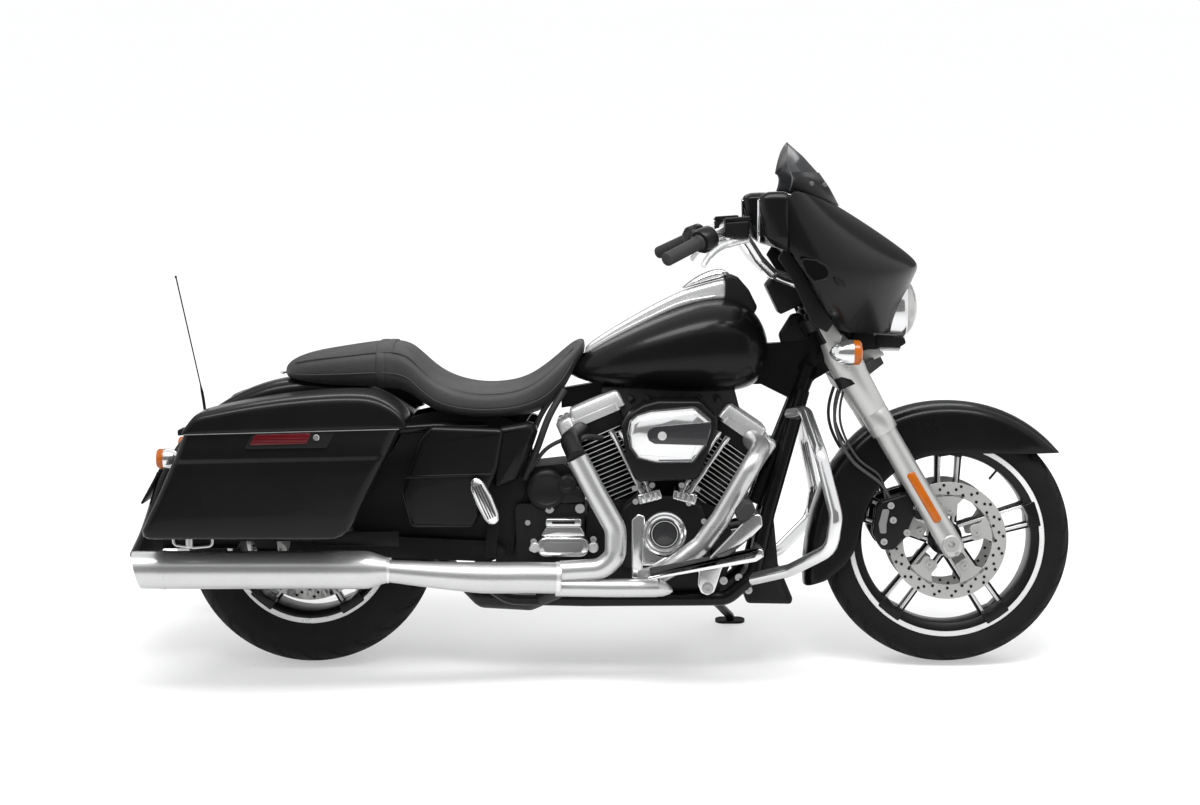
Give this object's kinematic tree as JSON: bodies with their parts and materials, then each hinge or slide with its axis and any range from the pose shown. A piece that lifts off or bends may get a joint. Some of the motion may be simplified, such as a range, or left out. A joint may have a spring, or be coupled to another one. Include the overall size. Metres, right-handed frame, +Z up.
{
  "type": "touring cruiser motorcycle",
  "caption": "Black touring cruiser motorcycle with a fork-mounted fairing, V-twin engine, hard side bags and long chromed silencers, leaning on its side stand.",
  "frame": {"origin": "middle of the motorcycle's outer box, on the ground it is parked on", "axes": "+X forward along the ground, +Y to the rider's left, +Z up; the machine leans 8.5 degrees to its left about X"},
  "size_m": [2.4108, 1.0112, 1.3522],
  "materials": {
    "front_tyre": "matt",
    "front_rim": "gloss black with machined lips",
    "front_discs": "brushed",
    "rear_tyre": "matt",
    "rear_rim": "gloss black with machined lips",
    "rear_disc_and_pulley": "brushed",
    "drive_belt": "matt",
    "fork_sliders": "satin silver",
    "fork_covers": "satin silver",
    "triple_clamps": "gloss black",
    "front_calipers": "satin black",
    "front_fender": "gloss black",
    "fairing_outer": "gloss black",
    "fairing_inner": "matt black",
    "windshield": "smoked",
    "headlight": "clear lens over a bright reflector",
    "front_turn_signals": "chrome with amber lens",
    "handlebar": "polished",
    "grips": "matt",
    "hand_controls": "satin black",
    "mirrors": "gloss black",
    "backbone": "gloss black",
    "cradle": "gloss black",
    "rear_subframe": "gloss black",
    "crankcase": "wrinkle black",
    "cylinders": "black with bright fin edges",
    "rocker_covers": "polished",
    "cam_cover": "polished",
    "timer_cover": "chrome ring, black face",
    "pushrod_tubes": "polished",
    "air_cleaner_cover": "chrome with a black inlay",
    "air_cleaner_body": "satin black",
    "gearbox": "wrinkle black",
    "gear_cover": "polished",
    "primary_cover": "polished",
    "exhaust_pipes": "polished",
    "muffler_right": "polished",
    "muffler_left": "polished",
    "fuel_tank": "gloss black",
    "tank_console": "polished",
    "fuel_door": "polished",
    "seat": "grained black",
    "rear_fender": "gloss black",
    "rear_lamps": "red and amber lenses in bright shells",
    "antenna": "black",
    "saddlebag_right": "gloss black",
    "saddlebag_left": "gloss black",
    "bag_lid_right": "gloss black",
    "bag_lid_left": "gloss black",
    "side_covers": "gloss black",
    "footboards": "chrome with black rubber",
    "foot_levers": "polished with rubber pads",
    "passenger_pegs": "polished",
    "engine_guard": "polished",
    "oil_cooler": "matt black",
    "horn": "polished",
    "swingarm": "satin black",
    "rear_shocks": "black with chrome cover",
    "rear_caliper": "satin black",
    "side_stand": "satin black"
  },
  "bodies": {
    "frame": {"drive_belt": "drive_belt", "backbone": "backbone", "cradle": "cradle", "rear_subframe": "rear_subframe", "crankcase": "crankcase", "cylinders": "cylinders", "rocker_covers": "rocker_covers", "cam_cover": "cam_cover", "timer_cover": "timer_cover", "pushrod_tubes": "pushrod_tubes", "air_cleaner_cover": "air_cleaner_cover", "air_cleaner_body": "air_cleaner_body", "gearbox": "gearbox", "gear_cover": "gear_cover", "primary_cover": "primary_cover", "exhaust_pipes": "exhaust_pipes", "muffler_right": "muffler_right", "muffler_left": "muffler_left", "fuel_tank": "fuel_tank", "tank_console": "tank_console", "seat": "seat", "rear_fender": "rear_fender", "rear_lamps": "rear_lamps", "antenna": "antenna", "saddlebag_right": "saddlebag_right", "saddlebag_left": "saddlebag_left", "side_covers": "side_covers", "footboards": "footboards", "foot_levers": "foot_levers", "passenger_pegs": "passenger_pegs", "engine_guard": "engine_guard", "oil_cooler": "oil_cooler", "horn": "horn", "swingarm": "swingarm", "rear_shocks": "rear_shocks", "rear_caliper": "rear_caliper"},
    "front_wheel": {"front_tyre": "front_tyre", "front_rim": "front_rim", "front_discs": "front_discs"},
    "rear_wheel": {"rear_tyre": "rear_tyre", "rear_rim": "rear_rim", "rear_disc_and_pulley": "rear_disc_and_pulley"},
    "fork": {"fork_sliders": "fork_sliders", "fork_covers": "fork_covers", "triple_clamps": "triple_clamps", "front_calipers": "front_calipers", "front_fender": "front_fender", "fairing_outer": "fairing_outer", "fairing_inner": "fairing_inner", "windshield": "windshield", "headlight": "headlight", "front_turn_signals": "front_turn_signals", "handlebar": "handlebar", "grips": "grips", "hand_controls": "hand_controls", "mirrors": "mirrors"},
    "side_stand": {"side_stand": "side_stand"},
    "bag_lid_right": {"bag_lid_right": "bag_lid_right"},
    "bag_lid_left": {"bag_lid_left": "bag_lid_left"},
    "fuel_door": {"fuel_door": "fuel_door"}
  },
  "joints": [
    {"name": "steering", "type": "hinge", "parent": "frame", "child": "fork", "pos_m": [0.6488, 0.01725, 0.83207], "axis": [-0.4384, 0.1329, 0.8889], "range_deg": [-28, 28]},
    {"name": "front_wheel_spin", "type": "hinge", "parent": "fork", "child": "front_wheel", "pos_m": [0.8855, -0.05961, 0.31778], "axis": [0, 0.989, -0.1478], "continuous": true},
    {"name": "rear_wheel_spin", "type": "hinge", "parent": "frame", "child": "rear_wheel", "pos_m": [-0.7395, -0.05961, 0.31778], "axis": [0, 0.989, -0.1478], "continuous": true},
    {"name": "side_stand_fold", "type": "hinge", "parent": "frame", "child": "side_stand", "pos_m": [0.2705, 0.06836, 0.1389], "axis": [-0.0568, 0.6653, 0.7445], "range_deg": [0, 99]},
    {"name": "bag_lid_right_hinge", "type": "hinge", "parent": "frame", "child": "bag_lid_right", "pos_m": [-0.7395, -0.47186, 0.69445], "axis": [0.9997, 0.0039, 0.0261], "range_deg": [0, 80]},
    {"name": "bag_lid_left_hinge", "type": "hinge", "parent": "frame", "child": "bag_lid_left", "pos_m": [-0.7395, 0.44476, 0.55746], "axis": [-0.9997, -0.0039, -0.0261], "range_deg": [0, 80]},
    {"name": "fuel_door_hinge", "type": "hinge", "parent": "frame", "child": "fuel_door", "pos_m": [0.3315, 0.04016, 0.98537], "axis": [0, 0.989, -0.1478], "range_deg": [0, 80]}
  ]
}
